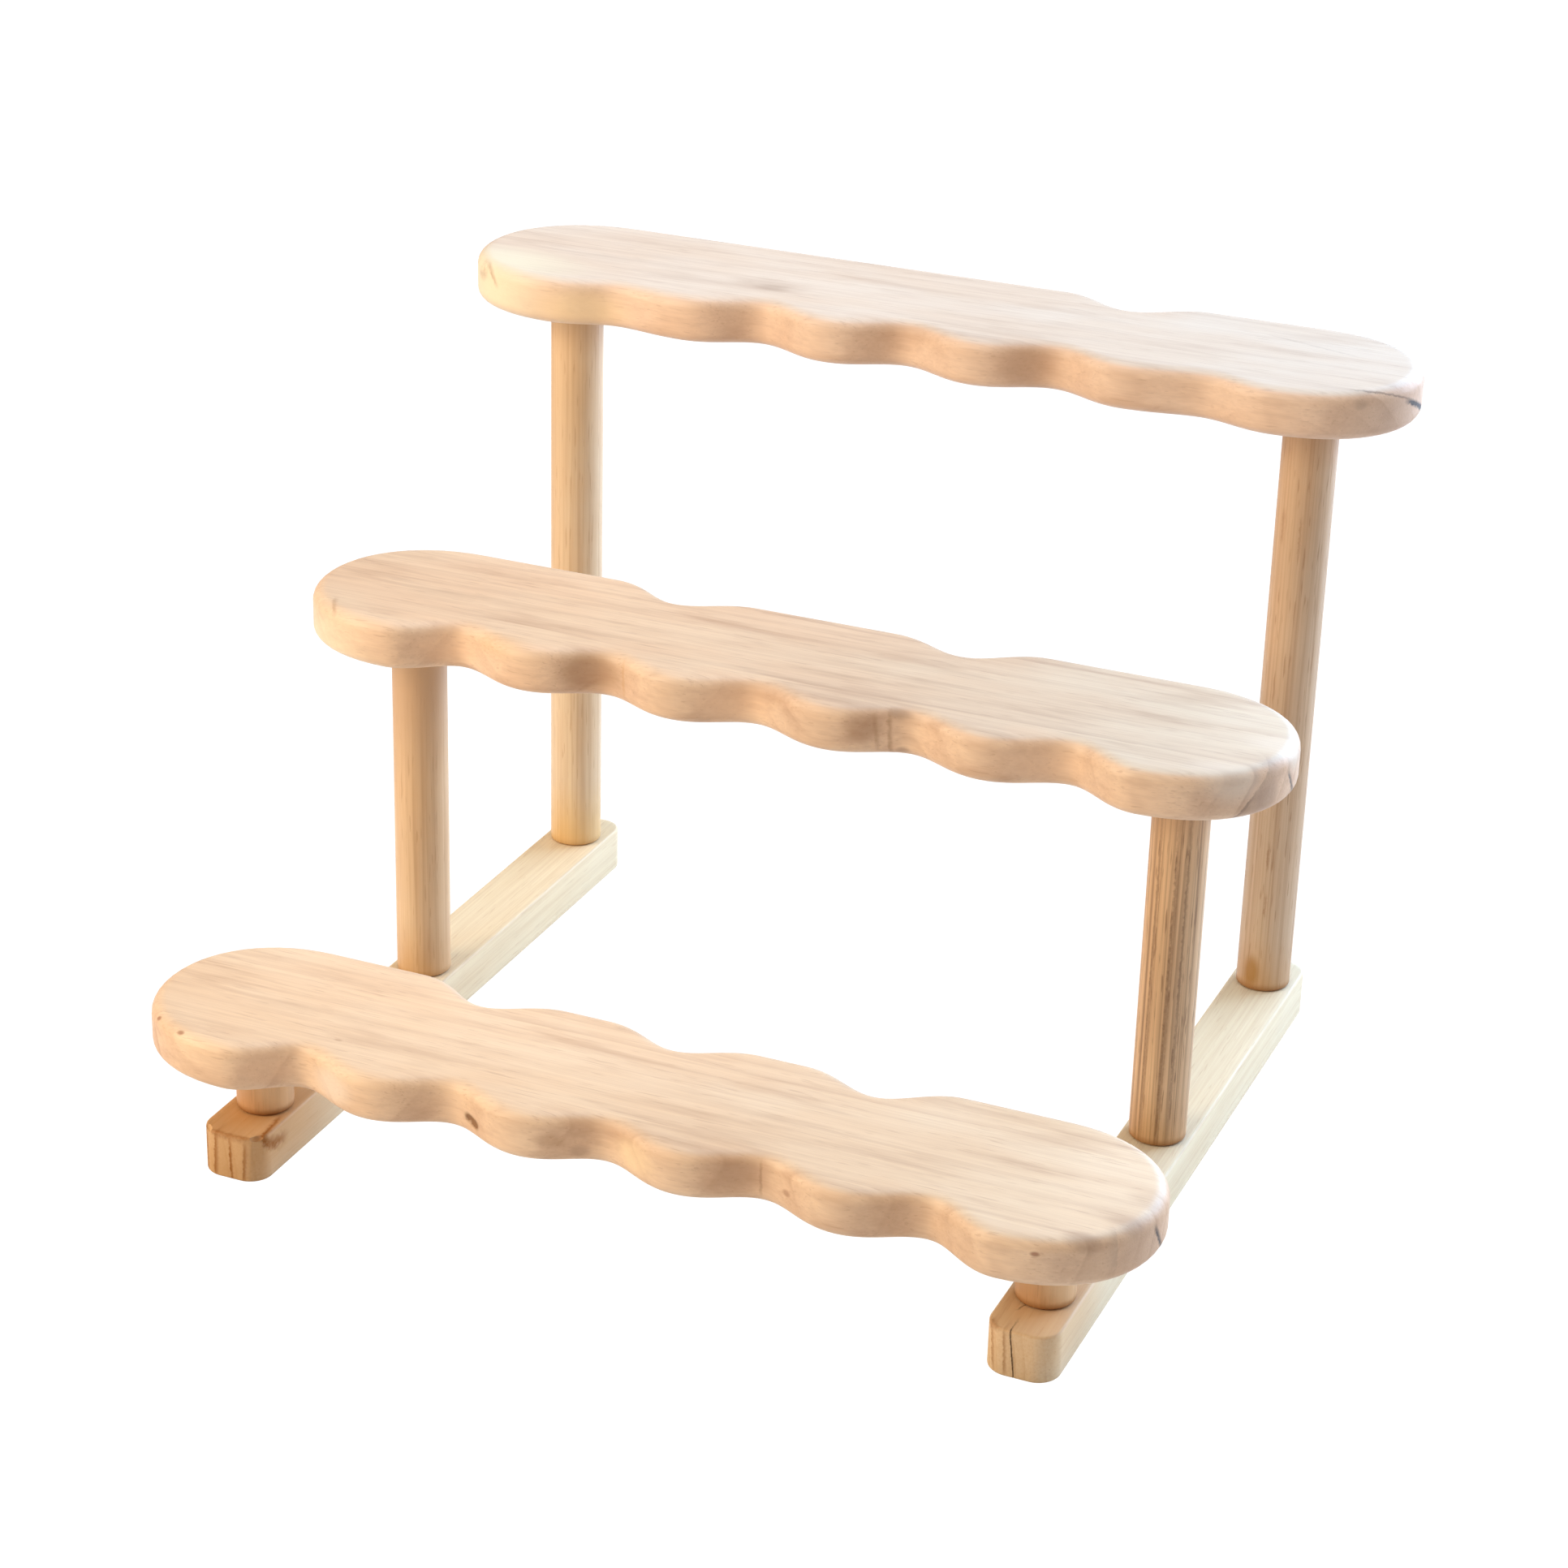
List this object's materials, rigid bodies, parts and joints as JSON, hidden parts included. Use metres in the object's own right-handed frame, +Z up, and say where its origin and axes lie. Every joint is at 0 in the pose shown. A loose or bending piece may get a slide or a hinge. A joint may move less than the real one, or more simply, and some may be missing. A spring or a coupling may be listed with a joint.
{
  "type": "tiered display shelf",
  "caption": "Stepped wooden display stand with scalloped boards on round posts, joined by two floor rails, for setting out goods at rising heights.",
  "frame": {"origin": "bottom centre of the bounding box, on the floor plane", "axes": "+X along the boards, +Y from the front step to the back step, +Z up"},
  "size_m": [0.4, 0.358, 0.2886],
  "materials": {
    "shelf_wood": "sanded bare pine",
    "post_wood": "sanded bare pine dowel",
    "rail_wood": "sanded bare pine strip",
    "zinc_steel": "zinc-plated"
  },
  "bodies": {
    "root": {"shelf_front": "shelf_wood", "shelf_middle": "shelf_wood", "shelf_back": "shelf_wood", "post_front_left": "post_wood", "post_front_right": "post_wood", "post_middle_left": "post_wood", "post_middle_right": "post_wood", "post_back_left": "post_wood", "post_back_right": "post_wood", "rail_left": "rail_wood", "rail_right": "rail_wood", "dowel_screw_front_left": "zinc_steel", "dowel_screw_front_right": "zinc_steel", "dowel_screw_middle_left": "zinc_steel", "dowel_screw_middle_right": "zinc_steel", "dowel_screw_back_left": "zinc_steel", "dowel_screw_back_right": "zinc_steel", "wood_screw_front_left": "zinc_steel", "wood_screw_front_right": "zinc_steel", "wood_screw_middle_left": "zinc_steel", "wood_screw_middle_right": "zinc_steel", "wood_screw_back_left": "zinc_steel", "wood_screw_back_right": "zinc_steel"}
  },
  "joints": []
}
